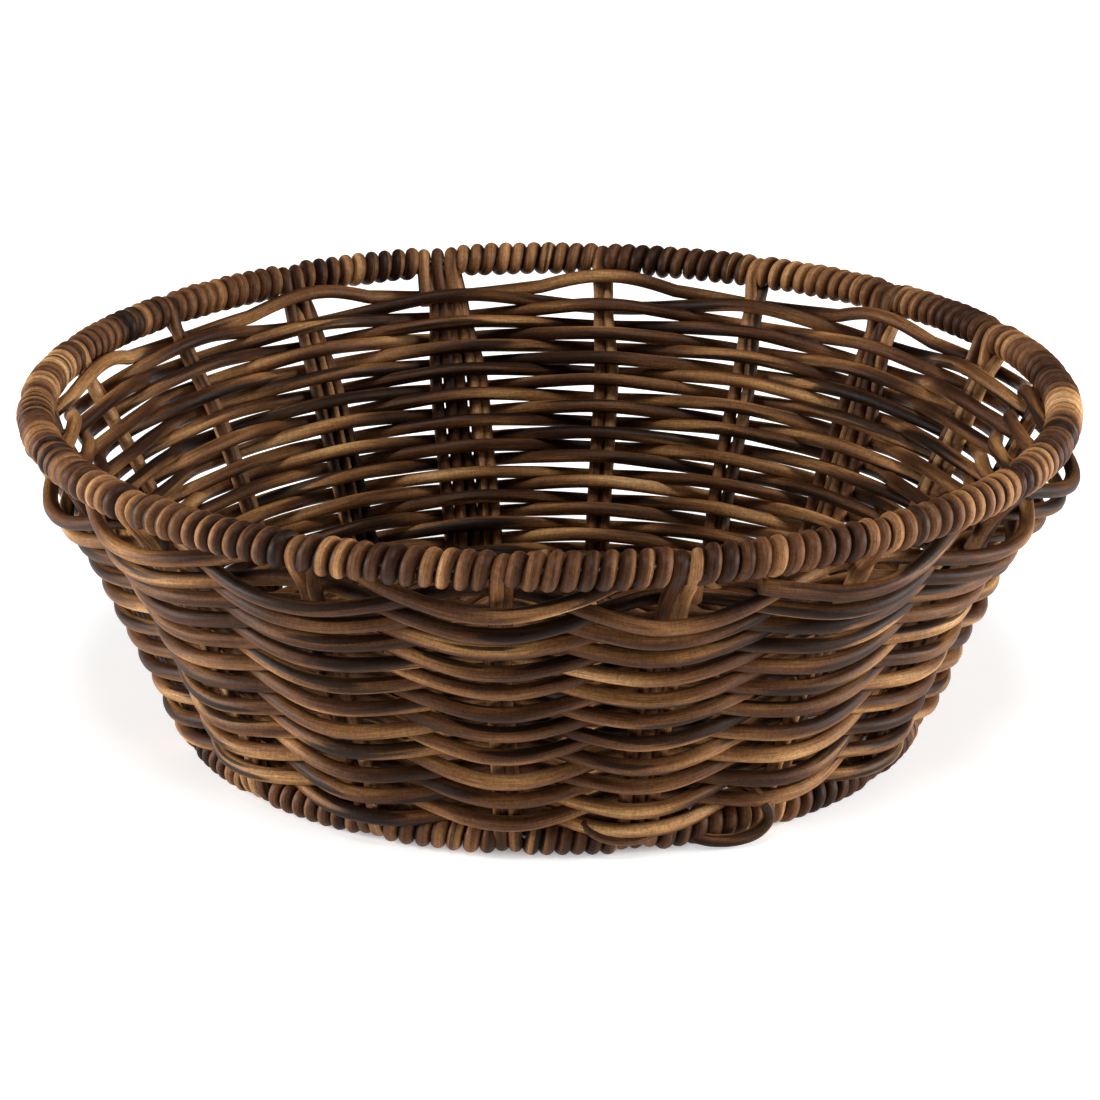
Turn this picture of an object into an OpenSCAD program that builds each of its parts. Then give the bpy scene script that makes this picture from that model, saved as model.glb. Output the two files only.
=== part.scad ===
// Round woven bowl basket. A wrapped rim hoop and a wrapped foot hoop are joined by stake
// bundles. Wall rows weave over one stake and under the next, and the base is woven on
// crossed base sticks.

/* [Basket] */
// Outside diameter across the wrapped rim
outer_d = 320; // [312:2:330]
// Height from the resting plane to the top of the wrapped rim
height = 107; // [106:1:110]
// Diameter of the foot hoop's centreline
foot_d = 222; // [218:2:224]

/* [Strands] */
// Diameter of the strand wound round both hoops
wrap_d = 4.5; // [4.3:0.1:4.5]
// Diameter of the wall and base strands
weave_d = 4.2; // [3.8:0.1:4.2]
// Diameter of the wire inside both hoops
wire_d = 2; // [1.8:0.1:2.2]

/* [Wall] */
// Height of the lowest wall row's centre
first_row_z = 10.6; // [10.4:0.1:11]
// Height between one wall row and the next
row_pitch = 3.9; // [3.9:0.01:3.94]
// How far a row's centre bulges out from the stakes
row_bulge = 4.7; // [4.5:0.1:5]
// Turns of the rim binding from one stake to the next
rim_bay_turns = 11; // [10:1:11]
// Width that one turn of the foot binding takes up
foot_turn_pitch = 4.85; // [4.8:0.05:5.1]

/* [Base] */
// Height of the base sticks' middle plane
base_z = 9.6; // [9.6:0.1:10]
// Radius of the innermost woven round of the base
first_round_r = 29.5; // [29:0.1:30]
// Distance between one round of the base and the next
round_pitch = 4.5; // [4.4:0.05:4.5]

/* [Hidden] */
stake_count = 18;
row_count = 22;
stick_count = 9;
band_count = 4;
rounds_per_band = 4;

// Stake bundles stand at equal steps, and stake 1 is a little left of the front.
stake_step = 360 / stake_count;
first_stake_turn = -97;
// Rods lying side by side in each bundle, counted anticlockwise from stake 1
stake_rods = [2, 3, 2, 3, 2, 2, 3, 4, 2, 2, 5, 3, 2, 2, 3, 2, 3, 2];
rod_pitch = weave_d + 0.2;

// Both hoops
wrap_r = (wire_d + wrap_d) / 2;
hoop_tube_r = wire_d / 2 + wrap_d;
rim_r = outer_d / 2 - hoop_tube_r;
rim_z = height - hoop_tube_r;
foot_r = foot_d / 2;
foot_z = hoop_tube_r;

// The wall line runs through the rim wire and touches the foot binding's middle circle.
hoop_gap = norm([rim_r - foot_r, rim_z - foot_z]);
wall_lean = atan((rim_r - foot_r) / (rim_z - foot_z)) - asin(wrap_r / hoop_gap);
wall_length = sqrt(hoop_gap * hoop_gap - wrap_r * wrap_r);

// A stake turns under the foot hoop, climbs to the base and lies flat towards the centre.
climb_angle = 60;
climb_bend_r = 4;
flat_drop = climb_bend_r * (1 - cos(climb_angle));
climb_length = (base_z - foot_z + wrap_r * cos(climb_angle) - flat_drop) / sin(climb_angle);
climb_top_r = foot_r - wrap_r * sin(climb_angle) - climb_length * cos(climb_angle);
flat_start_r = climb_top_r - climb_bend_r * sin(climb_angle);
stake_inner_r = 80;

// Base sticks
stick_level = (weave_d + 0.1) / 2;
stick_outer_r = 78;
slath_half = 12;
fan_bend_r = 15;
base_turn = first_stake_turn + stake_step / 2;
round_wave = weave_d + 0.1;

// Woven rings are tubes with this many sections a ring and sides a section
ring_steps = 3 * stake_count;
ring_sides = 5;

// Hairline left between the straight lengths and the bends of one strand
joint_gap = 0.05;

// Two loose strand tails that come down over the foot binding
tail_stakes = [2, 3];
tail_sweep = 14;
tail_bend_r = 8;
tail_top_z = 17;

curve_fn = 180;
strand_fn = 24;

light_cane = [0.62, 0.43, 0.24];
brown_cane = [0.44, 0.28, 0.15];
dark_cane = [0.26, 0.17, 0.11];
wire_grey = [0.45, 0.45, 0.47];
cane_colours = [brown_cane, light_cane, brown_cane, dark_cane];

function two_digits(n) = str(n < 10 ? "0" : "", n);
function stake_name(n) = str("stake_", two_digits(n));
function row_name(n) = str("wall_row_", two_digits(n));
function stick_name(n) = str("base_stick_", n);
function band_name(n) = str("base_weave_", n);

function wrapped_index(n) = (n - 1) % stake_count;
function rods_of(n) = stake_rods[wrapped_index(n)];
function stake_turn(n) = first_stake_turn + (n - 1) * stake_step;
function wall_r(z) = rim_r - (rim_z - z) * tan(wall_lean);
function cane_colour(n) = cane_colours[n % len(cane_colours)];

// Sideways place of rod number j in a bundle of the given size
function rod_offset(j, rods) = (j - (rods - 1) / 2) * rod_pitch;
function loop_rod(n) = floor((rods_of(n) - 1) / 2);
// Angle at which a stake's loop crosses the rim
function loop_turn(n) = stake_turn(n) + asin(rod_offset(loop_rod(n), rods_of(n)) / rim_r);
// Angle of a bundle's edge rod at the foot hoop: side is -1 or 1
function edge_turn(n, side) = stake_turn(n) + side * asin((rods_of(n) - 1) / 2 * rod_pitch / foot_r);

// One turn of binding strand round a hoop
module hoop_turn(hoop_r, hoop_z, angle) {
  rotate([0, 0, angle])
    translate([hoop_r, 0, hoop_z])
      rotate([90, 0, 0])
        rotate_extrude($fn = 48)
          translate([wrap_r, 0])
            circle(d = wrap_d, $fn = strand_fn);
}

module hoop_wire(hoop_r, hoop_z) {
  color(wire_grey)
    translate([0, 0, hoop_z])
      rotate_extrude($fn = curve_fn)
        translate([hoop_r, 0])
          circle(d = wire_d, $fn = strand_fn);
}

// A strand's bend in the XZ plane, centred on the given radius and height
module upright_bend(centre_r, centre_z, bend_r, start, sweep) {
  gap_angle = joint_gap / bend_r * 180 / PI;
  translate([centre_r, 0, centre_z])
    rotate([90, 0, 0])
      rotate([0, 0, start + gap_angle])
        rotate_extrude(angle = sweep - 2 * gap_angle, $fn = curve_fn)
          translate([bend_r, 0])
            circle(d = weave_d, $fn = strand_fn);
}

// A straight strand in the XZ plane: lean is measured from +Z towards +X
module straight_strand(start_r, start_z, lean, length) {
  translate([start_r, 0, start_z])
    rotate([0, lean, 0])
      cylinder(d = weave_d, h = length, $fn = strand_fn);
}

module rim_wire() {
  hoop_wire(rim_r, rim_z);
}

module foot_wire() {
  hoop_wire(foot_r, foot_z);
}

module rim_binding() {
  color(light_cane)
    for (n = [1 : stake_count]) {
      start = loop_turn(n);
      bay = loop_turn(n + 1) - start;
      for (k = [1 : rim_bay_turns - 1])
        hoop_turn(rim_r, rim_z, start + bay * k / rim_bay_turns);
    }
}

module foot_binding() {
  turn_step = foot_turn_pitch / foot_r * 180 / PI;
  color(brown_cane)
    for (n = [1 : stake_count]) {
      start = edge_turn(n, 1);
      bay = edge_turn(n + 1, -1) - start;
      slots = round(bay / turn_step);
      for (k = [1 : slots - 1])
        hoop_turn(foot_r, foot_z, start + bay * k / slots);
    }
}

// Wall, foot bend, climb and flat inner end of one rod, in the XZ plane
module stake_rod(top_gap) {
  foot_touch_r = foot_r + wrap_r * cos(wall_lean);
  foot_touch_z = foot_z - wrap_r * sin(wall_lean);
  straight_strand(foot_touch_r, foot_touch_z, wall_lean, wall_length - top_gap);
  upright_bend(foot_r, foot_z, wrap_r, -90 - climb_angle, 90 + climb_angle - wall_lean);
  straight_strand(
    foot_r - wrap_r * sin(climb_angle),
    foot_z - wrap_r * cos(climb_angle),
    climb_angle - 90,
    climb_length
  );
  upright_bend(flat_start_r, base_z - climb_bend_r, climb_bend_r, 90 - climb_angle, climb_angle);
  straight_strand(flat_start_r, base_z, -90, flat_start_r - stake_inner_r);
}

module stake(n) {
  rods = rods_of(n);
  color(cane_colour(n))
    rotate([0, 0, stake_turn(n)])
      for (j = [0 : rods - 1])
        translate([0, rod_offset(j, rods), 0])
          stake_rod(j == loop_rod(n) ? wrap_r : hoop_tube_r);
  color(cane_colour(n))
    hoop_turn(rim_r, rim_z, loop_turn(n));
}

// How far a wall row's middle line stands out at section s of the ring
function wall_wave(s) = row_bulge * cos(180 * s * stake_count / ring_steps);

// A closed tube whose middle line goes round at the given radii and heights, one a section.
// Each section stands square to the line's own climb.
module woven_tube(radii, heights) {
  points = [
    for (s = [0 : ring_steps - 1])
      let (
        turn = s * 360 / ring_steps,
        before = (s + ring_steps - 1) % ring_steps,
        after = (s + 1) % ring_steps,
        run = 4 * PI * radii[s] / ring_steps,
        climb = atan((heights[after] - heights[before]) / run)
      )
      for (side = [0 : ring_sides - 1])
        let (
          out = radii[s] + weave_d / 2 * cos(side * 360 / ring_sides),
          up = weave_d / 2 * sin(side * 360 / ring_sides)
        )
        [
          out * cos(turn) + up * sin(climb) * sin(turn),
          out * sin(turn) - up * sin(climb) * cos(turn),
          heights[s] + up * cos(climb)
        ]
  ];
  faces = [
    for (s = [0 : ring_steps - 1])
      for (side = [0 : ring_sides - 1])
        let (
          next_s = (s + 1) % ring_steps,
          next_side = (side + 1) % ring_sides
        )
        [
          s * ring_sides + side,
          s * ring_sides + next_side,
          next_s * ring_sides + next_side,
          next_s * ring_sides + side
        ]
  ];
  polyhedron(points = points, faces = faces, convexity = 10);
}

module wall_row(n) {
  row_z = first_row_z + (n - 1) * row_pitch;
  side = n % 2 == 0 ? 1 : -1;
  color(cane_colour(n))
    rotate([0, 0, first_stake_turn])
      woven_tube(
        [for (s = [0 : ring_steps - 1]) wall_r(row_z) + side * wall_wave(s)],
        [for (s = [0 : ring_steps - 1]) row_z]
      );
}

// Heading of a fanned-out stick's straight end, refined step by step
function fan_heading(heading, offset, target, steps) =
  steps == 0
    ? heading
    : fan_heading(
        atan2(
          target[1] - offset - fan_bend_r * (1 - cos(heading)),
          target[0] - slath_half - fan_bend_r * sin(heading)
        ),
        offset,
        target,
        steps - 1
      );

// Half of a base stick: a bend at the edge of the crossing, then a straight end
module stick_end(offset, fan_angle) {
  target = stick_outer_r * [cos(fan_angle), sin(fan_angle)];
  heading = fan_heading(fan_angle, offset, target, 8);
  bend_end = [
    slath_half + fan_bend_r * sin(heading),
    offset + fan_bend_r * (1 - cos(heading))
  ];
  gap_angle = joint_gap / fan_bend_r * 180 / PI;
  translate([slath_half, offset + fan_bend_r, 0])
    rotate([0, 0, gap_angle - 90])
      rotate_extrude(angle = heading - 2 * gap_angle, $fn = curve_fn)
        translate([fan_bend_r, 0])
          circle(d = weave_d, $fn = strand_fn);
  translate([bend_end[0], bend_end[1], 0])
    rotate([0, 90, heading])
      cylinder(d = weave_d, h = norm(target - bend_end), $fn = strand_fn);
}

// A stick through the crossing, place steps of rod_pitch to the left of its middle line
module fanned_stick(place) {
  half_length = place == 0 ? stick_outer_r : slath_half;
  offset = abs(place) * rod_pitch;
  fan_angle = abs(place) * stake_step;
  mirror([0, place < 0 ? 1 : 0, 0]) {
    translate([-half_length, offset, 0])
      rotate([0, 90, 0])
        cylinder(d = weave_d, h = 2 * half_length, $fn = strand_fn);
    if (place != 0)
      for (flip = [0, 1])
        mirror([flip, 0, 0])
          stick_end(offset, fan_angle);
  }
}

// Sticks 1 to 4 form the lower layer, sticks 5 to 9 cross over them.
module base_stick(n) {
  lower = n <= 4;
  place = lower ? n - 2.5 : n - 7;
  color(cane_colour(n))
    translate([0, 0, base_z + (lower ? -stick_level : stick_level)])
      rotate([0, 0, base_turn + (lower ? 0 : 90)])
        fanned_stick(place);
}

// Height of the spoke under or over which a base round passes
function spoke_angle(i) = (i * stake_step + 360 - stake_step / 2) % 180;
function spoke_level(i) = abs(spoke_angle(i) - 90) > 45 ? -stick_level : stick_level;
function spoke_z(i, ring_r) = base_z + (ring_r < stick_outer_r + weave_d / 2 ? spoke_level(i) : 0);
function crest_z(i, k, ring_r) = spoke_z(i, ring_r) + ((i + k) % 2 == 0 ? 1 : -1) * round_wave;
function eased(t) = (1 - cos(180 * t)) / 2;
function round_z(s, k, ring_r) =
  let (
    steps = ring_steps / stake_count,
    i = floor(s / steps),
    part = eased(s / steps - i)
  )
  crest_z(i, k, ring_r) * (1 - part) + crest_z((i + 1) % stake_count, k, ring_r) * part;

// One round of the base rises over one spoke and dips under the next.
module base_round(k) {
  ring_r = first_round_r + k * round_pitch;
  woven_tube(
    [for (s = [0 : ring_steps - 1]) ring_r],
    [for (s = [0 : ring_steps - 1]) round_z(s, k, ring_r)]
  );
}

module base_weave(band) {
  color(cane_colour(band))
    rotate([0, 0, base_turn - stake_step / 2])
      for (k = [(band - 1) * rounds_per_band : band * rounds_per_band - 1])
        base_round(k);
}

// A tail lies beside the foot binding, then turns up the wall next to its stake.
module foot_tail(n) {
  tail_r = foot_r + hoop_tube_r + weave_d / 2;
  tail_z = weave_d / 2;
  side_step = (rods_of(n) + 1) / 2 * rod_pitch;
  rotate([0, 0, stake_turn(n) - asin(side_step / tail_r)]) {
    translate([0, 0, tail_z])
      rotate([0, 0, -tail_sweep])
        rotate_extrude(angle = tail_sweep, $fn = curve_fn)
          translate([tail_r, 0])
            circle(d = weave_d, $fn = strand_fn);
    translate([tail_r, 0, tail_z + tail_bend_r])
      rotate([90, 0, 90])
        rotate([0, 0, -90])
          rotate_extrude(angle = 90, $fn = curve_fn)
            translate([tail_bend_r, 0])
              circle(d = weave_d, $fn = strand_fn);
    translate([tail_r, tail_bend_r, tail_z + tail_bend_r])
      cylinder(d = weave_d, h = tail_top_z - tail_z - tail_bend_r, $fn = strand_fn);
  }
}

module foot_tails() {
  color(brown_cane)
    for (n = tail_stakes)
      foot_tail(n);
}

rim_wire();
rim_binding();
foot_wire();
foot_binding();
foot_tails();
for (n = [1 : stake_count]) stake(n);
for (n = [1 : row_count]) wall_row(n);
for (n = [1 : stick_count]) base_stick(n);
for (n = [1 : band_count]) base_weave(n);
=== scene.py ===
"""Looks for the woven fruit basket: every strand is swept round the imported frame, in metres."""

import math
import random

import bpy
import numpy as np
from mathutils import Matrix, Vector


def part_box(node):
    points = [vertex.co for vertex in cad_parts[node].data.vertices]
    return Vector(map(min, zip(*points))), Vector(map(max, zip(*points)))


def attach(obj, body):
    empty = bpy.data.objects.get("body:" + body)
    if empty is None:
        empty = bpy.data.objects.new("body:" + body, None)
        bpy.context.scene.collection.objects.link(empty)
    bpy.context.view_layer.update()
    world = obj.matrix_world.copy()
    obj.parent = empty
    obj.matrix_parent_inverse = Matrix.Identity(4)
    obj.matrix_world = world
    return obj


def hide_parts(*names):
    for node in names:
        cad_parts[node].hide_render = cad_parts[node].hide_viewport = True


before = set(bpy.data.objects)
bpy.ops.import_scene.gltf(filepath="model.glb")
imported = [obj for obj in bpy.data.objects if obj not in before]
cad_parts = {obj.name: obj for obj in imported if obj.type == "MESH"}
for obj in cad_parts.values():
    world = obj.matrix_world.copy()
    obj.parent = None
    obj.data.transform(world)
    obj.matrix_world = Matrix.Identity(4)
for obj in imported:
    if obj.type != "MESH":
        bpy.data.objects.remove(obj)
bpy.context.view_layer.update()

# ---------------------------------------------------------------- sizes from the frame

MM = 0.001
WHOLE_TURN = 2 * math.pi
RIM_WIRE_LOW, RIM_WIRE_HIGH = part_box("rim_wire")
FOOT_WIRE_LOW, FOOT_WIRE_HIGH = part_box("foot_wire")
RIM_TOP_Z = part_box("rim_binding")[1].z
WIRE_RADIUS = (RIM_WIRE_HIGH.z - RIM_WIRE_LOW.z) / 2
RIM_Z = (RIM_WIRE_HIGH.z + RIM_WIRE_LOW.z) / 2
RIM_RADIUS = RIM_WIRE_HIGH.x - WIRE_RADIUS
FOOT_Z = (FOOT_WIRE_HIGH.z + FOOT_WIRE_LOW.z) / 2
FOOT_RADIUS = FOOT_WIRE_HIGH.x - WIRE_RADIUS
WRAP_THICK = RIM_TOP_Z - RIM_Z - WIRE_RADIUS
WRAP_RADIUS = WIRE_RADIUS + WRAP_THICK / 2

STAKE_COUNT = 18
ROW_COUNT = 22
STICK_COUNT = 9
BAND_COUNT = 4
ROUNDS_PER_BAND = 4

ROD_RADIUS = 2.1 * MM
ROW_RADIUS = 2.24 * MM
FIRST_STAKE_DEG = -97.0
STAKE_STEP_DEG = 360.0 / STAKE_COUNT
# Rods side by side in each bundle, and how far each bundle stands off its even step, in degrees
STAKE_RODS = (2, 3, 2, 3, 2, 2, 3, 4, 2, 2, 5, 3, 2, 2, 3, 2, 3, 2)
STAKE_DRIFT_DEG = (1, -0.5, 1, 4, 3, 1, -1, -1, -1.5, -1, 0, 0, -0.5, 0, -1, -2, -2, 0)

# The wall line runs through the middles of both hoops.
RIM_CENTRE = np.array((RIM_RADIUS, RIM_Z))
FOOT_CENTRE = np.array((FOOT_RADIUS, FOOT_Z))
WALL_LENGTH = float(np.linalg.norm(RIM_CENTRE - FOOT_CENTRE))
WALL_UP = (RIM_CENTRE - FOOT_CENTRE) / WALL_LENGTH
WALL_OUT = np.array((WALL_UP[1], -WALL_UP[0]))
WALL_BOW = 1.7 * MM

UPRIGHT = (0.0, 0.0, 1.0)
# A route times this points straight away from the basket's middle.
OUTWARD_ONLY = (1, 1, 0)

# The base sticks lie in two layers, and the rods' inner ends lie between them.
LOWER_STICK_Z = sum(corner.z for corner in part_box("base_stick_1")) / 2
UPPER_STICK_Z = sum(corner.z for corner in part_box("base_stick_7")) / 2
BASE_Z = (LOWER_STICK_Z + UPPER_STICK_Z) / 2
STICK_OUTER_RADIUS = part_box("base_stick_7")[1].x


def stake_angle(index):
    """Direction of a stake bundle seen from above, in radians, for any whole number."""
    lap, place = divmod(index, STAKE_COUNT)
    degrees = FIRST_STAKE_DEG + STAKE_STEP_DEG * place + STAKE_DRIFT_DEG[place] + 360 * lap
    return math.radians(degrees)


def wall_bow(run):
    """How far the wall bends inward from its straight line, at a distance up it from the foot hoop."""
    return WALL_BOW * np.sin(math.pi * run / WALL_LENGTH)


def eased(t):
    """0 to 1 with a soft start and end."""
    t = np.clip(t, 0.0, 1.0)
    return t * t * (3 - 2 * t)


def ring_point(radius, angle, z):
    """Points in space from arrays of radius, direction and height."""
    return np.stack((radius * np.cos(angle), radius * np.sin(angle), z + 0 * angle), axis=-1)


def side_of(angle):
    """The level direction anticlockwise round the basket, at a direction seen from above."""
    return np.array((-math.sin(angle), math.cos(angle), 0.0))


# ---------------------------------------------------------------- strands

def unit(vectors):
    """Each vector at length 1."""
    return vectors / np.maximum(np.linalg.norm(vectors, axis=-1, keepdims=True), 1e-12)


def running_length(path):
    """Length along a route from its start to each point."""
    return np.concatenate(((0.0,), np.cumsum(np.linalg.norm(np.diff(path, axis=0), axis=1))))


def resample(path, step):
    """The same route with points about one step apart."""
    run = running_length(path)
    count = max(int(round(run[-1] / step)), 2)
    wanted = np.linspace(0.0, run[-1], count + 1)
    return np.stack([np.interp(wanted, run, path[:, axis]) for axis in range(3)], axis=-1)


def smooth_path(path, passes):
    """Rounds the corners of a route and keeps its ends."""
    path = path.copy()
    for _ in range(passes):
        path[1:-1] = 0.25 * path[:-2] + 0.5 * path[1:-1] + 0.25 * path[2:]
    return path


def swept_rings(path, side, turn, size):
    """Rings of points round a route, and its direction. turn holds a ring's angles, size its radii."""
    tangent = unit(np.gradient(path, axis=0))
    side = np.broadcast_to(np.asarray(side, float), path.shape)
    across = unit(side - np.sum(side * tangent, axis=1, keepdims=True) * tangent)
    up = np.cross(tangent, across)
    rings = (
        path[:, None, :]
        + size[..., None] * np.cos(turn)[None, :, None] * across[:, None, :]
        + size[..., None] * np.sin(turn)[None, :, None] * up[:, None, :]
    )
    return rings, tangent


# Shape of a cut end: its bevel's share of the strand, and how far the bevel and the tip stand out
CUT_BEVEL = 0.78
CUT_BEVEL_OUT = 0.35 * MM
CUT_TIP_OUT = 0.5 * MM
# The painted crease shade on a strand's flanks starts at this share of the way from its face to its
# side.
CREASE_SHADE_START = 0.6


class Strands:
    """Collects swept strands into one mesh, with the coordinates that the cane material reads."""

    def __init__(self, seed):
        self.rng = random.Random(seed)
        self.points = []
        self.faces = []
        self.grain = []
        self.tone = []
        self.count = 0

    def add(self, path, radius, side, tone=None, sides=12, oval=0.04, twist=6.0, crease_shade=0.0):
        """Sweeps one strand. side is a vector, or one for each point, that fixes the section's turn.

        tone is lighter above 0 and darker below it, and is drawn at random if it isn't given.
        twist turns the colours round the strand, in radians a metre. The last argument paints shade on
        the two flanks, where a wound strand lies against its neighbours.
        """
        run = running_length(path)
        wobble = self.rng.uniform(0, 7)
        swell = 0.018 * np.sin(run / 0.013 + wobble) + 0.014 * np.sin(run / 0.0047 + 2 * wobble)
        size = radius * (1 + swell)
        turn = np.arange(sides) * WHOLE_TURN / sides
        ovalness = 1 + oval * np.cos(2 * turn[None, :] + run[:, None] * 9 + wobble)
        ring, tangent = swept_rings(path, side, turn, size[:, None] * ovalness)
        start = self.rng.uniform(0, 40)
        spin = self.rng.uniform(0, WHOLE_TURN)
        tone = self.rng.gauss(0, 1) if tone is None else tone
        angle = turn[None, :] + spin + twist * run[:, None]
        along = np.repeat((run + start)[:, None], sides, axis=1)
        grain = np.stack((np.cos(angle), np.sin(angle), along), axis=-1)
        first = self.count
        self._skin(ring, grain)
        last_ring = self.count - sides
        self._cap(path[0], -tangent[0], ring[0], grain[0], first, False)
        self._cap(path[-1], tangent[-1], ring[-1], grain[-1], last_ring, True)
        # Painted shade: the flanks are darkened in the tone values where a wound strand lies against
        # its neighbours.
        crease_shade_mask = np.clip((np.abs(np.sin(turn)) - CREASE_SHADE_START) / (1 - CREASE_SHADE_START), 0.0, 1.0)
        shade = np.full(self.count - first, tone)
        shade[:len(path) * sides] -= crease_shade * np.tile(crease_shade_mask, len(path))
        self.tone.append(shade)

    def _skin(self, ring, grain):
        """Adds a strand's rings of points and the faces between them."""
        rings, sides = ring.shape[:2]
        self.points.append(ring.reshape(-1, 3))
        self.grain.append(grain.reshape(-1, 3))
        first = self.count + np.arange(rings - 1)[:, None] * sides
        j = np.arange(sides)[None, :]
        k = (j + 1) % sides
        quads = np.stack((first + j, first + k, first + sides + k, first + sides + j), axis=-1)
        self.faces.extend(quads.reshape(-1, 4).tolist())
        self.count += rings * sides

    def _cap(self, centre, outward, ring, grain, first, forward):
        """Closes an end with a crowned cut."""
        sides = len(ring)
        inset = centre + (ring - centre) * CUT_BEVEL + outward * CUT_BEVEL_OUT
        tip = centre + outward * CUT_TIP_OUT
        self.points.append(np.vstack((inset, tip)))
        self.grain.append(np.vstack((grain * (0.6, 0.6, 1), (0, 0, grain[0, 2]))))
        inner = self.count
        for j in range(sides):
            k = (j + 1) % sides
            loop = [first + j, first + k, inner + k, inner + j]
            self.faces.append(loop if forward else loop[::-1])
            fan = [inner + j, inner + k, inner + sides]
            self.faces.append(fan if forward else fan[::-1])
        self.count += sides + 1

    def build(self, name, material, slot, *nodes):
        """Makes the piece, and hides the CAD nodes that it stands for."""
        points = np.vstack(self.points)
        mesh = bpy.data.meshes.new(name)
        mesh.from_pydata(points.tolist(), [], self.faces)
        grain = mesh.attributes.new("grain", "FLOAT_VECTOR", "POINT")
        grain.data.foreach_set("vector", np.vstack(self.grain).astype(np.float32).ravel())
        # The tone attribute holds each strand's random tone and, on wound strands, the painted crease
        # shade.
        tone = mesh.attributes.new("tone", "FLOAT", "POINT")
        tone.data.foreach_set("value", np.concatenate(self.tone).astype(np.float32))
        mesh.polygons.foreach_set("use_smooth", np.ones(len(mesh.polygons), bool))
        mesh.update()
        mesh.materials.append(material)
        piece = bpy.data.objects.new(name, mesh)
        bpy.context.scene.collection.objects.link(piece)
        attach(piece, "root")
        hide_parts(*nodes)


# ---------------------------------------------------------------- materials

class Graph:
    """A short way to write a material's nodes."""

    def __init__(self, name):
        self.material = bpy.data.materials.new(name)
        self.material.use_nodes = True
        self.tree = self.material.node_tree
        self.tree.nodes.clear()

    def node(self, kind, **settings):
        """A new node with its settings."""
        made = self.tree.nodes.new(kind)
        for key, value in settings.items():
            setattr(made, key, value)
        return made

    def plug(self, socket, value):
        """Links another node's output to a socket, or sets the socket's own value."""
        if isinstance(value, bpy.types.NodeSocket):
            self.tree.links.new(value, socket)
        else:
            socket.default_value = value

    def math(self, operation, a, b):
        made = self.node("ShaderNodeMath", operation=operation)
        self.plug(made.inputs[0], a)
        self.plug(made.inputs[1], b)
        return made.outputs[0]

    def attribute(self, name):
        return self.node("ShaderNodeAttribute", attribute_type="GEOMETRY", attribute_name=name)

    def noise(self, vector, scale, detail, roughness, distortion=0.0):
        made = self.node("ShaderNodeTexNoise", noise_dimensions="3D")
        self.plug(made.inputs["Vector"], vector)
        self.plug(made.inputs["Scale"], scale)
        self.plug(made.inputs["Detail"], detail)
        self.plug(made.inputs["Roughness"], roughness)
        self.plug(made.inputs["Distortion"], distortion)
        return made.outputs["Fac"]

    def pattern(self, grain, around, along, detail, roughness, distortion=0.0):
        """A noise in grain coordinates, scaled round the strand and along it."""
        stretched = self.node("ShaderNodeVectorMath", operation="MULTIPLY")
        self.plug(stretched.inputs[0], grain)
        self.plug(stretched.inputs[1], (around, around, along))
        return self.noise(stretched.outputs[0], 1.0, detail, roughness, distortion)

    def weighted(self, value, weight):
        """How far a 0 to 1 pattern stands from its middle, times a weight."""
        return self.math("MULTIPLY", self.math("SUBTRACT", value, 0.5), weight)

    def spread(self, value, low, high, out_low, out_high):
        """The value's run from low to high, stretched to the run between the two outputs."""
        made = self.node("ShaderNodeMapRange", clamp=True)
        for socket, number in zip(made.inputs, (value, low, high, out_low, out_high)):
            self.plug(socket, number)
        return made.outputs[0]

    def ramp(self, value, stops):
        """Colours at places along 0 to 1."""
        made = self.node("ShaderNodeValToRGB")
        elements = made.color_ramp.elements
        while len(elements) < len(stops):
            elements.new(0.5)
        for element, (place, colour) in zip(elements, stops):
            element.position = place
            element.color = linear(colour)
        self.plug(made.inputs[0], value)
        return made.outputs[0]

    def mix(self, factor, a, b, blend="MIX"):
        """Two colours blended: inputs 6 and 7 and output 2 are the node's colour sockets."""
        made = self.node("ShaderNodeMix", data_type="RGBA", blend_type=blend, clamp_result=False)
        self.plug(made.inputs[0], factor)
        self.plug(made.inputs[6], a)
        self.plug(made.inputs[7], b)
        return made.outputs[2]

    def bump(self, height, strength, distance, normal=None):
        made = self.node("ShaderNodeBump")
        self.plug(made.inputs["Strength"], strength)
        self.plug(made.inputs["Distance"], distance)
        self.plug(made.inputs["Height"], height)
        if normal is not None:
            self.plug(made.inputs["Normal"], normal)
        return made.outputs[0]

    def finish(self, colour, roughness, normal, **uniform):
        """Joins the patterns to the surface. uniform's names are socket names with _ for a space."""
        shader = self.node("ShaderNodeBsdfPrincipled")
        output = self.node("ShaderNodeOutputMaterial")
        self.plug(shader.inputs["Base Color"], colour)
        self.plug(shader.inputs["Roughness"], roughness)
        self.plug(shader.inputs["Normal"], normal)
        for key, value in uniform.items():
            self.plug(shader.inputs[key.replace("_", " ")], value)
        self.tree.links.new(shader.outputs[0], output.inputs[0])
        return self.material


def linear(colour):
    """A colour given as 0 to 255 display values, for the renderer."""
    scaled = [channel / 255 for channel in colour]
    return [c / 12.92 if c <= 0.04045 else ((c + 0.055) / 1.055) ** 2.4 for c in scaled] + [1.0]


# Cane colours from dark to light, as they would look in plain light
WARM_BLACK = (22, 12, 8)
DARK_UMBER = (46, 26, 15)
DARK_BROWN = (70, 42, 24)
MID_BROWN = (96, 62, 37)
WARM_TAN = (122, 83, 51)
GOLDEN = (152, 109, 69)
PALE_TAN = (184, 142, 97)
CANE_STOPS = (
    (0.14, DARK_UMBER), (0.32, DARK_BROWN), (0.48, MID_BROWN), (0.62, WARM_TAN), (0.78, GOLDEN),
    (0.98, PALE_TAN))

# How much each pattern moves the colour between dark and light
PATCH_WEIGHT = 1.5
STREAK_WEIGHT = 0.45
# The near-black tongues: how streaky their edge is, the tone's share in it, its width and its depth
TONGUE_STREAKS = 0.16
TONGUE_TONE_SHARE = 0.35
TONGUE_EDGE = 0.05
TONGUE_DEPTH = 0.88
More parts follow.
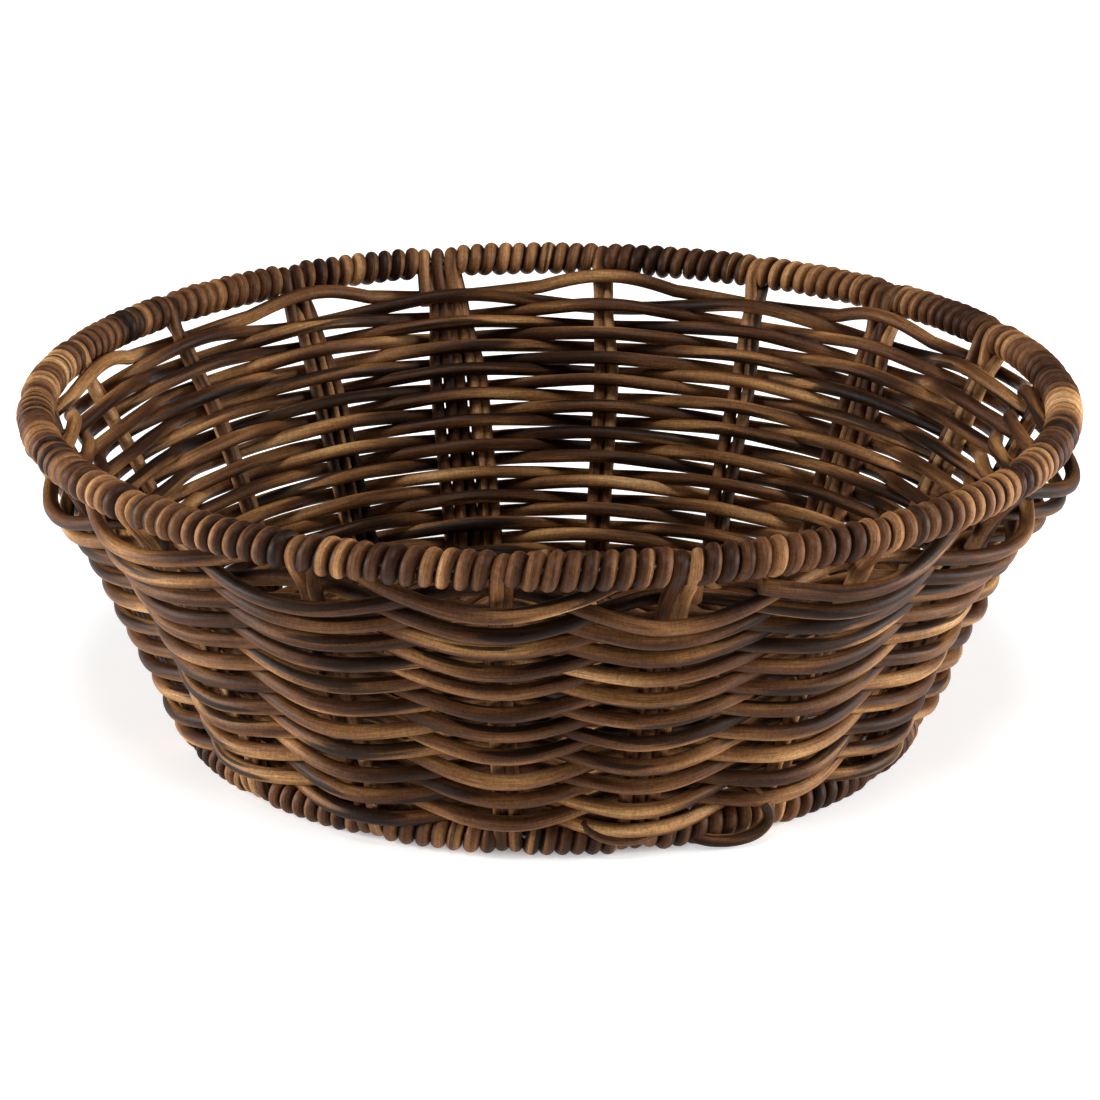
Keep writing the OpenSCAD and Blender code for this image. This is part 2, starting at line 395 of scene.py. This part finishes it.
# Brightness at the dark and the light ends of each fine pattern, which run from FINE_LOW to FINE_HIGH
FINE_LOW, FINE_HIGH = 0.3, 0.7
FIBRE_SHADES = (0.60, 1.30)
TICK_SHADES = (0.80, 1.16)
SPECK_SHADES = (0.84, 1.18)
CANE_ROUGHNESS = (0.38, 0.58)


def cane_mottle(g, streaks, shade, patch_length, tone_weight, halves_weight, black_from):
    """The colour's long patches, and the near-black tongues over them."""
    grain = g.attribute("grain").outputs["Vector"]
    # tone holds each strand's random tone and the painted crease shade of wound strands.
    tone = g.attribute("tone").outputs["Fac"]
    patches = g.pattern(grain, 0.40, 0.80 / patch_length, 1.0, 0.4)
    halves = g.pattern(grain, 0.80, 0.30 / patch_length, 0.0, 0.5)
    tongues = g.pattern(grain, 0.55, 0.55 / patch_length, 1.0, 0.5, 0.25)

    level = g.math("ADD", g.weighted(patches, PATCH_WEIGHT), g.weighted(halves, halves_weight))
    level = g.math("ADD", level, g.weighted(streaks, STREAK_WEIGHT))
    level = g.math("ADD", level, g.math("MULTIPLY", tone, tone_weight))
    level = g.math("ADD", level, 0.5 + shade)
    edge = g.math("ADD", tongues, g.weighted(streaks, TONGUE_STREAKS))
    edge = g.math("SUBTRACT", edge, g.math("MULTIPLY", tone, tone_weight * TONGUE_TONE_SHARE))
    blackness = g.spread(edge, black_from, black_from + TONGUE_EDGE, 0.0, TONGUE_DEPTH)
    return g.mix(blackness, g.ramp(level, CANE_STOPS), linear(WARM_BLACK))


def cane(name, shade, patch_length, tone_weight, halves_weight=0.6, black_from=0.575, blue_share=1.0):
    """Mottled brown cane: long patches, dark tongues, lengthwise grain and fine crosswise ticks.

    shade makes it all lighter, patch_length is in metres, tone_weight and halves_weight say how
    much the strands and the two halves of one strand differ, the tongues are fewer where
    black_from is higher, and blue_share dims the blue.
    """
    g = Graph(name)
    grain = g.attribute("grain").outputs["Vector"]
    streaks = g.pattern(grain, 4.0, 60.0, 3.0, 0.65)
    fibres = g.pattern(grain, 10.0, 170.0, 2.0, 0.6)
    ticks = g.pattern(grain, 1.8, 1400.0, 1.0, 0.6)
    specks = g.pattern(grain, 6.0, 2300.0, 1.0, 0.5)

    colour = cane_mottle(g, streaks, shade, patch_length, tone_weight, halves_weight, black_from)
    shading = g.spread(fibres, FINE_LOW, FINE_HIGH, *FIBRE_SHADES)
    shading = g.math("MULTIPLY", shading, g.spread(ticks, FINE_LOW, FINE_HIGH, *TICK_SHADES))
    shading = g.math("MULTIPLY", shading, g.spread(specks, FINE_LOW, FINE_HIGH, *SPECK_SHADES))
    tint = g.node("ShaderNodeCombineXYZ")
    for socket, share in zip(tint.inputs, (1.0, 1.0, blue_share)):
        g.plug(socket, g.math("MULTIPLY", shading, share))
    colour = g.mix(1.0, colour, tint.outputs[0], "MULTIPLY")

    height = g.math("ADD", g.math("MULTIPLY", streaks, 0.5), g.math("MULTIPLY", fibres, 0.5))
    normal = g.bump(height, 0.5, 0.25 * MM)
    normal = g.bump(ticks, 0.45, 0.12 * MM, normal)
    wear = g.math("ADD", streaks, g.math("MULTIPLY", ticks, 0.5))
    roughness = g.spread(wear, 0.45, 1.05, *CANE_ROUGHNESS)
    return g.finish(colour, roughness, normal, Specular_IOR_Level=0.11)


def steel(name):
    """Grey drawn wire with a dull brushed skin."""
    g = Graph(name)
    place = g.node("ShaderNodeTexCoord").outputs["Object"]
    clouds = g.noise(place, 60.0, 3.0, 0.6)
    scratches = g.noise(place, 900.0, 2.0, 0.6)
    colour = g.ramp(clouds, ((0.3, (96, 96, 100)), (0.7, (138, 138, 142))))
    roughness = g.spread(scratches, 0.3, 0.7, 0.35, 0.6)
    return g.finish(colour, roughness, g.bump(scratches, 0.15, 0.05 * MM), Metallic=0.9)


WHITE = (1.0, 1.0, 1.0, 1.0)
# The floor glows a little outside the foot, and more far out where the lights don't reach.
FOOT_GLOW = 0.55
FAR_GLOW = 0.4
FAR_GLOW_FROM, FAR_GLOW_TO = 0.6, 2.0


def paper(name):
    """The pale studio floor."""
    g = Graph(name)
    place = g.node("ShaderNodeTexCoord").outputs["Object"]
    fleck = g.noise(place, 40.0, 3.0, 0.6)
    colour = g.ramp(fleck, ((0.3, (238, 238, 237)), (0.7, (242, 242, 242))))
    measure = g.node("ShaderNodeVectorMath", operation="LENGTH")
    g.plug(measure.inputs[0], place)
    reach = measure.outputs["Value"]
    near = g.spread(reach, FOOT_RADIUS - 6 * MM, FOOT_RADIUS + 2 * MM, 0.0, FOOT_GLOW)
    far = g.spread(reach, FAR_GLOW_FROM, FAR_GLOW_TO, 0.0, FAR_GLOW)
    return g.finish(
        colour, 0.85, g.bump(fleck, 0.02, 0.2 * MM), Specular_IOR_Level=0.2,
        Emission_Color=WHITE, Emission_Strength=g.math("ADD", near, far))


# ---------------------------------------------------------------- bindings

BINDING_PITCH = 4.74 * MM
# How much painted shade darkens a binding's flanks, where its turns lie against each other, in the
# tone's units
BINDING_CREASE_SHADE = 6.0
# A turn may stand this share of the pitch off its even place.
TURN_NUDGE = 0.05
POINTS_A_TURN = 34


def binding_turns(centre, bays, cross_from, cross_to, rng):
    """Phase and direction of a strand wound round a hoop, with a gap left at each stake bundle.

    The strand steps across a gap while its phase runs from cross_from to cross_to.
    """
    phases, places = [], []
    phase = cross_to - WHOLE_TURN
    stride = (cross_from - cross_to) % WHOLE_TURN
    for low, high in bays:
        turns = max(int(round((high - low) * centre[0] / BINDING_PITCH - stride / WHOLE_TURN)), 1)
        marks = turns + 1
        span = turns * WHOLE_TURN + stride
        for step in range(marks + 1):
            share = step / marks
            nudge = 0.0
            if 0 < step < marks:
                nudge = rng.uniform(-TURN_NUDGE, TURN_NUDGE) * BINDING_PITCH / centre[0]
            phases.append(phase + share * span)
            places.append(low + share * (high - low) + nudge)
        phase += span + (cross_to - cross_from) % WHOLE_TURN
    return np.array(phases), np.array(places)


def wound_strand(centre, phases, places, rng):
    """The route of the strand and its outward direction."""
    turns = (phases[-1] - phases[0]) / WHOLE_TURN
    phase = np.linspace(phases[0], phases[-1], int(turns * POINTS_A_TURN) + 1)
    place = np.interp(phase, phases, places)
    knots = np.arange(int(turns) + 3)
    loose = np.array([rng.uniform(-0.12, 0.16) * MM for _ in knots])
    radius = WRAP_RADIUS + np.interp((phase - phase[0]) / WHOLE_TURN, knots, loose)
    level_share = np.cos(phase)
    outward = ring_point(level_share, place, np.sin(phase))
    path = ring_point(centre[0], place, centre[1]) + radius[:, None] * outward
    return path, outward


def binding(hoop, centre, gap_of, shift, crossing, seed, material):
    """The binding of the "rim" or "foot" hoop: one strand, wound tightly between the stakes.

    It steps past a bundle while its turn runs over the crossing's two angles, in degrees. shift
    is how far the gaps stand to one side of the bundles.
    """
    strands = Strands(seed)
    bays = []
    for index in range(STAKE_COUNT):
        low = stake_angle(index) + (shift + gap_of(index) / 2) / centre[0]
        high = stake_angle(index + 1) + (shift - gap_of(index + 1) / 2) / centre[0]
        bays.append((low, high))
    start, end = (math.radians(angle) for angle in crossing)
    phases, places = binding_turns(centre, bays, start, end, strands.rng)
    path, outward = wound_strand(centre, phases, places, strands.rng)
    # The flanks get painted shade where the turns lie against each other.
    strands.add(
        path, WRAP_THICK / 2 + 0.05 * MM, outward, tone=0.0, sides=14, oval=0.03, twist=0.0,
        crease_shade=BINDING_CREASE_SHADE)
    strands.build(f"{hoop}_binding_cane", material, f"{hoop}_cane", f"{hoop}_binding")


LOOP_PITCH = 4.7 * MM
ROD_PITCH = 4.0 * MM
RIM_SHIFT = 3.6 * MM


def loops_over_rim(index):
    """Strands that cross the rim at a bundle: folded pairs, and a single where the count is odd."""
    return (STAKE_RODS[index % STAKE_COUNT] + 1) // 2


def rim_gap(index):
    """Room that a bundle's loops take up in the rim binding."""
    return loops_over_rim(index) * LOOP_PITCH + 0.4 * MM


def foot_gap(index):
    """Room that a bundle's rods take up in the foot binding."""
    return STAKE_RODS[index % STAKE_COUNT] * ROD_PITCH + 1.2 * MM


def rim_binding(material):
    binding("rim", RIM_CENTRE, rim_gap, RIM_SHIFT, (215, 325), 11, material)


def foot_binding(material):
    binding("foot", FOOT_CENTRE, foot_gap, 0.0, (40, 160), 12, material)


# ---------------------------------------------------------------- stakes

ROD_STAGGER = 1.1 * MM
ROD_BOW_MM = 0.5
ROD_SWAY_MM = 0.3
ROD_STEP = 1.2 * MM
CLIMB_ANGLE = math.radians(60)
STAKE_INNER_RADIUS = 80 * MM
HOOP_REACH = 13 * MM
# Above this share of the wall a rod drifts sideways to its place under the rim.
DRIFT_FROM = 0.62
RIM_DRIFT_BACK = 1.2 * MM
# Where a loop's arc over the rim hoop starts outside and ends inside, in radians
LOOP_START, LOOP_END = -0.35, math.pi + 0.1
# How far a single rod runs down the inside after its loop
SINGLE_TAIL = 15 * MM


def arc(centre, radius, start, end, count):
    """Points on a circle's arc, as radius and height."""
    turn = np.linspace(start, end, count)
    return np.stack((centre[0] + radius * np.cos(turn), centre[1] + radius * np.sin(turn)), axis=-1)


def rod_profile():
    """Radius and height of a rod from its inner end, under the foot hoop and up to near the rim."""
    under = arc(FOOT_CENTRE, WRAP_RADIUS, -math.pi / 2 - CLIMB_ANGLE, 0.0, 16)
    slope = np.array((math.cos(CLIMB_ANGLE), -math.sin(CLIMB_ANGLE)))
    corner = under[0] - slope * (BASE_Z - under[0][1]) / math.sin(CLIMB_ANGLE)
    flat = np.stack((np.linspace(STAKE_INNER_RADIUS, corner[0], 12), np.full(12, BASE_Z)), axis=-1)
    climb = corner + (under[0] - corner) * np.linspace(0.15, 0.95, 6)[:, None]
    run = np.linspace(HOOP_REACH, WALL_LENGTH - HOOP_REACH, 60)
    wall = FOOT_CENTRE + run[:, None] * WALL_UP - wall_bow(run)[:, None] * WALL_OUT
    return np.vstack((flat, climb, under)), wall


def stake_route(angle, profile, offsets, reach):
    """Turns a radius and height profile into points, shifted sideways and off the wall line."""
    outward = np.array((math.cos(angle), math.sin(angle), 0.0))
    up = np.array(UPRIGHT)
    return (
        profile[:, :1] * outward + profile[:, 1:] * up + offsets[:, None] * side_of(angle)
        + reach[:, None] * (outward * WALL_OUT[0] + up * WALL_OUT[1])
    )


def rod_rise(angle, place, depth, rim_place, rng):
    """One rod from its inner end under the base to just below the rim hoop."""
    foot, wall = rod_profile()
    share = np.linspace(0, 1, len(wall))
    bow = rng.uniform(-ROD_BOW_MM, ROD_BOW_MM) * MM * np.sin(share * math.pi)
    drift = (rim_place - place) * eased((share - DRIFT_FROM) / (1 - DRIFT_FROM))
    sway = rng.uniform(-ROD_SWAY_MM, ROD_SWAY_MM) * MM * np.sin(share * math.pi * 2)
    depths = depth * np.sin(share * math.pi) ** 0.5
    low = stake_route(angle, foot, np.full(len(foot), place), np.zeros(len(foot)))
    return np.vstack((low, stake_route(angle, wall, place + bow + drift, depths + sway)))


def rim_loop(angle, place_out, place_in, folded):
    """Up the outside of the rim hoop and over it. A rod that isn't folded ends down the inside."""
    profile = arc(RIM_CENTRE, WRAP_RADIUS, LOOP_START, LOOP_END, 24)
    if not folded:
        profile = np.vstack((profile, RIM_CENTRE - WALL_UP * SINGLE_TAIL - WALL_OUT * ROD_RADIUS))
    offsets = place_out + (place_in - place_out) * np.linspace(0, 1, len(profile))
    return stake_route(angle, profile, offsets, np.zeros(len(profile)))


def stake(index, material):
    """One bundle of rods. Pairs are one strand that folds over the rim, and an odd rod ends inside."""
    strands = Strands(140 + index)
    rng = strands.rng
    angle = stake_angle(index)
    rods = STAKE_RODS[index]
    places = [(rod - (rods - 1) / 2) * ROD_PITCH for rod in range(rods)]
    depths = [-ROD_STAGGER * (rod % 2) for rod in range(rods)]
    loops = loops_over_rim(index)
    for loop in range(loops):
        centre = RIM_SHIFT + (loop - (loops - 1) / 2) * LOOP_PITCH
        place_out, place_in = centre - LOOP_PITCH / 4, centre + LOOP_PITCH / 4
        rod = 2 * loop
        folded = rod + 1 < rods
        parts = [
            rod_rise(angle, places[rod], depths[rod], place_out - RIM_DRIFT_BACK, rng),
            rim_loop(angle, place_out, place_in, folded),
        ]
        if folded:
            inner = rod_rise(angle, places[rod + 1], depths[rod + 1], place_in - RIM_DRIFT_BACK, rng)
            parts.append(inner[::-1])
        path = smooth_path(resample(np.vstack(parts), ROD_STEP), 6)
        strands.add(path, ROD_RADIUS, side_of(angle), oval=0.03)
    number = f"{index + 1:02d}"
    strands.build(f"stake_{number}_rods", material, "stake_cane", f"stake_{number}")


# ---------------------------------------------------------------- wall

ROW_POINT_STEP = 1.3 * MM
ROW_MEAN_RADIUS = 140 * MM
# How far a row stands off the wall line outside a stake and inside it, and how far that varies
BULGE_OUT = 4.9 * MM
BULGE_IN = 5.0 * MM
BULGE_SWING_MM = 0.5
TOP_BULGE = 1.8 * MM
SIDE_BULGE = 3.6 * MM
ROW_WANDER_MM = 0.45
ROW_LIFT = 1.0 * MM
# A row crosses the wall line in slightly less than the whole way between two stakes.
CROSSING_SHARPNESS = 1.04
# At a stake each row sags on the outside and arches up on the inside. Row 1 bends the other way.
ROW_SAG = 0.65 * MM
ROW_ARCH = 0.3 * MM
LOW_ROW_SHARE = {1: -0.8, 2: 0.2}
# The rows under the rim part further, in millimetres along the wall.
OUTSIDE_DROP = {18: 0.2, 19: 2.1, 20: 0.9, 21: 3.7, 22: 1.8}
INSIDE_RISE = {18: 0.1, 19: 0.3, 20: 0.7, 21: 1.1, 22: 2.9}
# Share of OUTSIDE_DROP at four stakes near the front where the weave is tighter, by stake index
TIGHT_STAKES = {17: 0.0, 0: 0.3, 1: 0.6, 3: 0.15}

# Enough stake numbers for a row that starts anywhere within a lap of the front
STAKE_NUMBERS = np.arange(-STAKE_COUNT, 3 * STAKE_COUNT)
STAKE_ANGLES = np.array([stake_angle(int(number)) for number in STAKE_NUMBERS])
STAKE_SLACK = np.array([TIGHT_STAKES.get(int(index), 1.0) for index in STAKE_NUMBERS % STAKE_COUNT])


def row_level(row):
    """Height of a wall row's middle, from its CAD node."""
    low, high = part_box(f"wall_row_{row:02d}")
    return (low.z + high.z) / 2


def row_lift(row):
    """How far a row stands above its even place: most in the middle of the wall."""
    return ROW_LIFT * math.sin(math.pi * (row - 0.5) / ROW_COUNT)


def looseness(angle):
    """How loose the weave is on the outside: most at the front and least at the back."""
    return 0.65 - 0.35 * np.sin(angle)


def row_bulge(row, angle):
    """How far a row stands out over a stake: most in the top rows, and most of all at their right."""
    side = 0.65 * np.abs(np.cos(angle)) + 0.35 * np.cos(angle)
    return BULGE_OUT + TOP_BULGE * eased((row - 18) / 3) + SIDE_BULGE * side * eased((row - 16) / 3)


def shift_at_stakes(most_mm, rng):
    """A random shift for each stake, given for each of STAKE_NUMBERS."""
    shifts = np.array([rng.uniform(-most_mm, most_mm) * MM for _ in range(STAKE_COUNT)])
    return shifts[STAKE_NUMBERS % STAKE_COUNT]


def between_stakes(angle, *at_stakes):
    """Values given for each of STAKE_NUMBERS, blended at directions between them."""
    position = np.interp(angle, STAKE_ANGLES, STAKE_NUMBERS.astype(float))
    below = np.floor(position).astype(int)
    crossing = (0.5 + (position - below - 0.5) * CROSSING_SHARPNESS).clip(0, 1)
    ease = 0.5 - 0.5 * np.cos(math.pi * crossing)
    pick = below + STAKE_COUNT
    return [values[pick] * (1 - ease) + values[pick + 1] * ease for values in at_stakes]


def row_dip(row, angle, offset, slack):
    """How far a row dips along the wall where it stands off the wall line: below 0 it arches up."""
    outside = offset > 0
    share_out = np.where(outside, offset / row_bulge(row, angle), offset / BULGE_IN)
    outside_drop = OUTSIDE_DROP.get(row, 0.0) * MM * looseness(angle) * slack
    parting = share_out * np.where(outside, outside_drop, INSIDE_RISE.get(row, 0.0) * MM)
    bend = np.where(outside, ROW_SAG * looseness(angle), ROW_ARCH) * LOW_ROW_SHARE.get(row, 1.0)
    return parting + bend * share_out**3


def row_route(row, rng, start, end):
    """A row's points from one direction to another, over one stake and under the next."""
    angle = np.linspace(start, end, int((end - start) * ROW_MEAN_RADIUS / ROW_POINT_STEP))
    outside = (STAKE_NUMBERS + row) % 2 == 0
    swing = shift_at_stakes(BULGE_SWING_MM, rng)
    depth = np.where(outside, row_bulge(row, STAKE_ANGLES), -BULGE_IN) + swing
    wander = shift_at_stakes(ROW_WANDER_MM, rng)
    offset, rise, slack = between_stakes(angle, depth, wander, STAKE_SLACK)
    dip = row_dip(row, angle, offset, slack)
    along = (row_level(row) + row_lift(row) + rise - RIM_Z) / WALL_UP[1] - dip
    offset = offset - wall_bow(WALL_LENGTH + along)
    radius = RIM_RADIUS + along * WALL_UP[0] + offset * WALL_OUT[0]
    return ring_point(radius, angle, RIM_Z + along * WALL_UP[1] + offset * WALL_OUT[1])


JOIN_OVERLAP = 3.5 * MM
# The top row starts in full view, this far round from the front and this far off the wall.
CUT_END_DEG = 21.6
CUT_END_LIFT = 3.0 * MM
CUT_END_POINTS = 14


def row_ends(row, rng):
    """Directions between which a row runs: it joins behind a stake near the front."""
    lap = JOIN_OVERLAP / RIM_RADIUS
    join = rng.choice([index for index in range(-4, 5) if (index + row) % 2 == 1])
    if row == ROW_COUNT:
        return math.radians(CUT_END_DEG - 90), stake_angle(1 + STAKE_COUNT) + lap
    return stake_angle(join) - lap, stake_angle(join + STAKE_COUNT) + lap


def wall_row(row, material):
    """One row. The top one lifts off the wall towards its cut end."""
    strands = Strands(300 + row)
    path = row_route(row, strands.rng, *row_ends(row, strands.rng))
    if row == ROW_COUNT:
        lift = CUT_END_LIFT * (1 - eased(np.arange(len(path)) / CUT_END_POINTS))[:, None]
        path += lift * unit(path * OUTWARD_ONLY)
    strands.add(path, ROW_RADIUS, UPRIGHT, sides=14)
    strands.build(f"wall_row_{row:02d}_strand", material, "wall_cane", f"wall_row_{row:02d}")


# ---------------------------------------------------------------- base

# The lower sticks' heading, half a step from stake 1
BASE_TURN = math.radians(FIRST_STAKE_DEG + STAKE_STEP_DEG / 2)
LOWER_STICKS = 4
SLATH_HALF = 12 * MM
STICK_PITCH = 4.4 * MM
TIE_RADII = (14.5 * MM, 19.2 * MM, 24.4 * MM)
FIRST_ROUND_RADIUS = 29.5 * MM
ROUND_PITCH = 4.5 * MM
ROUND_WAVE = 4.3 * MM
ROUND_WANDER = 0.25 * MM
# A round's two ends stop this share of a spoke's step short of each other.
ROUND_END_GAP = 0.02


def base_stick(number, material):
    """A stick through the crossing, whose two ends fan out towards the stakes."""
    strands = Strands(500 + number)
    lower = number <= LOWER_STICKS
    first, last = (1, LOWER_STICKS) if lower else (LOWER_STICKS + 1, STICK_COUNT)
    place = number - (first + last) / 2
    heading = BASE_TURN + (0 if lower else math.pi / 2)
    fan = math.radians(STAKE_STEP_DEG) * place
    half = np.array((
        (0.0, place * STICK_PITCH), (SLATH_HALF, place * STICK_PITCH),
        (STICK_OUTER_RADIUS * math.cos(fan), STICK_OUTER_RADIUS * math.sin(fan))))
    flat = np.vstack((half[::-1] * (-1, 1), half[1:]))
    along = np.array((math.cos(heading), math.sin(heading)))
    across = np.array((-math.sin(heading), math.cos(heading)))
    turned = flat @ np.array((along, across))
    level = np.full((len(turned), 1), LOWER_STICK_Z if lower else UPPER_STICK_Z)
    path = smooth_path(resample(np.hstack((turned, level)), 1.5 * MM), 12)
    strands.add(path, ROD_RADIUS, UPRIGHT)
    strands.build(f"base_stick_{number}_cane", material, "base_cane", f"base_stick_{number}")


def spoke_level(spoke, radius):
    """Height of the stick or rods at a spoke, counted from stake 1's direction."""
    if radius > STICK_OUTER_RADIUS:
        return BASE_Z
    off = (math.radians(FIRST_STAKE_DEG + STAKE_STEP_DEG * spoke) - BASE_TURN) % math.pi
    return UPPER_STICK_Z if abs(off - math.pi / 2) < math.radians(45) else LOWER_STICK_Z


def base_round(number, rng):
    """One round of the base, over one spoke and under the next, whose ends meet under a spoke."""
    radius = FIRST_ROUND_RADIUS + number * ROUND_PITCH
    first = 2 * rng.randrange(STAKE_COUNT // 2) + (number + 1) % 2
    last = first + STAKE_COUNT - ROUND_END_GAP
    step = 1.5 * MM / (radius * math.radians(STAKE_STEP_DEG))
    position = np.append(np.arange(first + ROUND_END_GAP, last, step), last)
    below = np.floor(position).astype(int)
    crests = np.array([
        spoke_level(spoke % STAKE_COUNT, radius) + ROUND_WAVE * (1 if (spoke + number) % 2 == 0 else -1)
        for spoke in range(2 * STAKE_COUNT + 2)])
    ease = 0.5 - 0.5 * np.cos(math.pi * (position - below))
    height = crests[below] * (1 - ease) + crests[below + 1] * ease
    angle = np.radians(FIRST_STAKE_DEG + STAKE_STEP_DEG * position)
    wander = rng.uniform(-0.2, 0.2) * MM + ROUND_WANDER * np.sin(angle * 3 + rng.uniform(0, 6))
    return ring_point(radius + wander, angle, height)


def slath_tie(radius, rng):
    """A round that passes over the lower sticks and under the upper ones, close to the crossing."""
    angle = np.arange(0, WHOLE_TURN + 0.2, 1.2 * MM / radius) + rng.uniform(0, 6)
    wave = np.cos(2 * (angle - BASE_TURN))
    height = BASE_Z + (UPPER_STICK_Z - BASE_Z) * np.sign(wave) * np.abs(wave) ** 0.5
    return ring_point(np.linspace(radius - 0.5 * MM, radius + 0.5 * MM, len(angle)), angle, height)


def base_weave(band, material):
    """Four rounds of the base, with the ties round the crossing on the first band.

    The last band has a fifth round, which closes the base up to the foot hoop.
    """
    strands = Strands(600 + band)
    if band == 1:
        for radius in TIE_RADII:
            strands.add(smooth_path(slath_tie(radius, strands.rng), 3), ROD_RADIUS, UPRIGHT)
    closing = 1 if band == BAND_COUNT else 0
    for number in range((band - 1) * ROUNDS_PER_BAND, band * ROUNDS_PER_BAND + closing):
        strands.add(base_round(number, strands.rng), ROD_RADIUS, UPRIGHT)
    strands.build(f"base_weave_{band}_cane", material, "base_cane", f"base_weave_{band}")


# ---------------------------------------------------------------- tails at the foot

def curved(points, step):
    """A smooth route through a few given points."""
    points = np.asarray(points, float)
    ends = np.vstack((2 * points[0] - points[1], points, 2 * points[-1] - points[-2]))
    share = np.linspace(0, 1, 12, endpoint=False)[:, None]
    parts = []
    for a, b, c, d in zip(ends, ends[1:], ends[2:], ends[3:]):
        parts.append(0.5 * (
            2 * b + (c - a) * share + (2 * a - 5 * b + 4 * c - d) * share**2
            + (3 * b - a - 3 * c + d) * share**3))
    return resample(np.vstack(parts + [points[-1:]]), step)


def round_the_foot(points):
    """Points given as degrees from the front, and millimetres out from the foot hoop and up."""
    degrees, out, height = np.array(points, float).T
    return ring_point(FOOT_RADIUS + out * MM, np.radians(degrees - 90), height * MM)


# The thin cut end under the lowest row, and a loose loop in front of the hoop
THIN_END = ((4.6, 4.0, 11.0), (6.2, 6.2, 8.6), (8.4, 7.2, 7.0), (11.5, 7.4, 6.5), (14.4, 7.0, 7.8))
LOOSE_LOOP = (
    (28.5, 3.0, 18), (30.2, 6.6, 14), (31.4, 8.2, 10), (31.2, 8.8, 6.4), (29.2, 8.8, 3.4),
    (26.2, 7.8, 2.3), (23.4, 5.6, 2.3), (21.5, 3.0, 2.8))


def foot_tails(material):
    """Both tails, in one piece."""
    strands = Strands(700)
    for points, radius, tone in ((THIN_END, 1.5 * MM, 0.0), (LOOSE_LOOP, 1.9 * MM, 0.2)):
        path = curved(round_the_foot(points), 1.0 * MM)
        strands.add(path, radius, path * OUTWARD_ONLY, tone=tone)
    strands.build("foot_tail_strands", material, "foot_cane", "foot_tails")


# ---------------------------------------------------------------- stage

FLOOR_HALF = 6.0
# The floor lies just under the strands that stand on it.
FLOOR_Z = -0.2 * MM
LIGHT_TARGET = (0, 0, 0.05)
WORLD_STRENGTH = 0.10
CAMERA_PLACE = (0.0, -1.0693, 0.4401)
CAMERA_TARGET = (0, 0, 0.0514)
CAMERA_LENS_MM = 121.1
CAMERA_SENSOR_MM = 36.0


def aimed(place, target):
    """The turn of a lamp or camera at a place that points it at a target."""
    return (Vector(target) - Vector(place)).to_track_quat("-Z", "Y").to_euler()


def floor():
    """A large plane on which the basket stands."""
    mesh = bpy.data.meshes.new("floor")
    corners = [(-1, -1), (1, -1), (1, 1), (-1, 1)]
    points = [(x * FLOOR_HALF, y * FLOOR_HALF, FLOOR_Z) for x, y in corners]
    mesh.from_pydata(points, [], [(0, 1, 2, 3)])
    mesh.materials.append(paper("studio_floor"))
    piece = bpy.data.objects.new("floor", mesh)
    bpy.context.scene.collection.objects.link(piece)


def soft_light(name, place, size, power):
    """A round softbox that points at the basket: size in metres and power in watts."""
    data = bpy.data.lights.new(name, "AREA")
    data.shape = "DISK"
    data.size = size
    data.energy = power
    light = bpy.data.objects.new(name, data)
    light.location = place
    light.rotation_euler = aimed(place, LIGHT_TARGET)
    bpy.context.scene.collection.objects.link(light)


def lights():
    """Low softboxes at both sides, one high up in front of the basket, and a faint white world."""
    world = bpy.data.worlds.new("studio")
    world.use_nodes = True
    background = world.node_tree.nodes["Background"]
    background.inputs["Color"].default_value = WHITE
    background.inputs["Strength"].default_value = WORLD_STRENGTH
    bpy.context.scene.world = world
    soft_light("left_softbox", (-1.5, -0.1, 0.32), 0.6, 28)
    soft_light("right_softbox", (1.5, -0.1, 0.32), 0.6, 30)
    soft_light("top_softbox", (0, -0.65, 1.56), 0.8, 22)


def camera():
    """The photo's view, from in front and a little above."""
    data = bpy.data.cameras.new("camera")
    data.lens = CAMERA_LENS_MM
    data.sensor_width = CAMERA_SENSOR_MM
    made = bpy.data.objects.new("camera", data)
    made.location = CAMERA_PLACE
    made.rotation_euler = aimed(CAMERA_PLACE, CAMERA_TARGET)
    bpy.context.scene.collection.objects.link(made)
    bpy.context.scene.camera = made
    bpy.context.scene.view_settings.view_transform = "Standard"


# ---------------------------------------------------------------- the basket

camera()
lights()
floor()

BINDING_LOOK = {
    "shade": -0.03, "patch_length": 0.050, "tone_weight": 0.04, "halves_weight": 0.55,
    "black_from": 0.60}
rim_binding(cane("rim_cane_skin", **BINDING_LOOK))
foot_binding(cane("foot_cane_skin", **BINDING_LOOK))
stake_skin = cane(
    "stake_cane_skin", shade=0.03, patch_length=0.040, tone_weight=0.08, halves_weight=0.6,
    black_from=0.62)
for stake_index in range(STAKE_COUNT):
    stake(stake_index, stake_skin)
wall_skin = cane("wall_cane_skin", shade=-0.03, patch_length=0.032, tone_weight=0.05, blue_share=0.92)
for row_number in range(1, ROW_COUNT + 1):
    wall_row(row_number, wall_skin)

base_skin = cane("base_cane_skin", shade=-0.02, patch_length=0.036, tone_weight=0.06)
for stick_number in range(1, STICK_COUNT + 1):
    base_stick(stick_number, base_skin)
for band_number in range(1, BAND_COUNT + 1):
    base_weave(band_number, base_skin)
foot_tails(wall_skin)

wire_skin = steel("hoop_wire_skin")
for wire in ("rim_wire", "foot_wire"):
    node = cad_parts[wire]
    node.data.materials.clear()
    node.data.materials.append(wire_skin)
